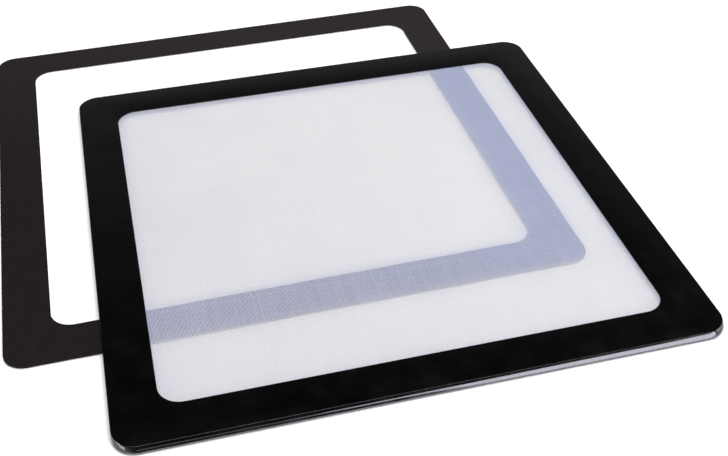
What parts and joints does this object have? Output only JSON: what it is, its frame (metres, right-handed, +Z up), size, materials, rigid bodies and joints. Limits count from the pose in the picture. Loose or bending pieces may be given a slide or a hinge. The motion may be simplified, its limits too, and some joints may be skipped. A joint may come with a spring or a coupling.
{
  "type": "fan dust filter",
  "caption": "Square magnetic dust filter for a case fan: white woven mesh in a glossy black PVC frame, lying on its flat stick-on magnetic mounting frame.",
  "frame": {"origin": "middle of the whole set's box, on the table that the mounting frame lies on", "axes": "+Z up out of the filter's glossy face, +X to the right and +Y to the back along the filter's sides"},
  "size_m": [0.1892, 0.2018, 0.0022],
  "materials": {
    "glossy_pvc": "glossy soft PVC",
    "back_pvc": "smooth soft PVC",
    "nylon_mesh": "fine white woven nylon",
    "magnet_strip": "matt flexible magnet",
    "magnet_sheet": "matt flexible magnet sheet",
    "adhesive": "adhesive film",
    "liner_paper": "coated release paper"
  },
  "bodies": {
    "root": {"filter_cover": "glossy_pvc", "filter_back_tray": "back_pvc", "filter_mesh": "nylon_mesh", "filter_magnet_front": "magnet_strip", "filter_magnet_back": "magnet_strip", "filter_magnet_left": "magnet_strip", "filter_magnet_right": "magnet_strip", "mounting_magnet_frame": "magnet_sheet", "mounting_adhesive": "adhesive", "mounting_release_liner": "liner_paper"}
  },
  "joints": []
}
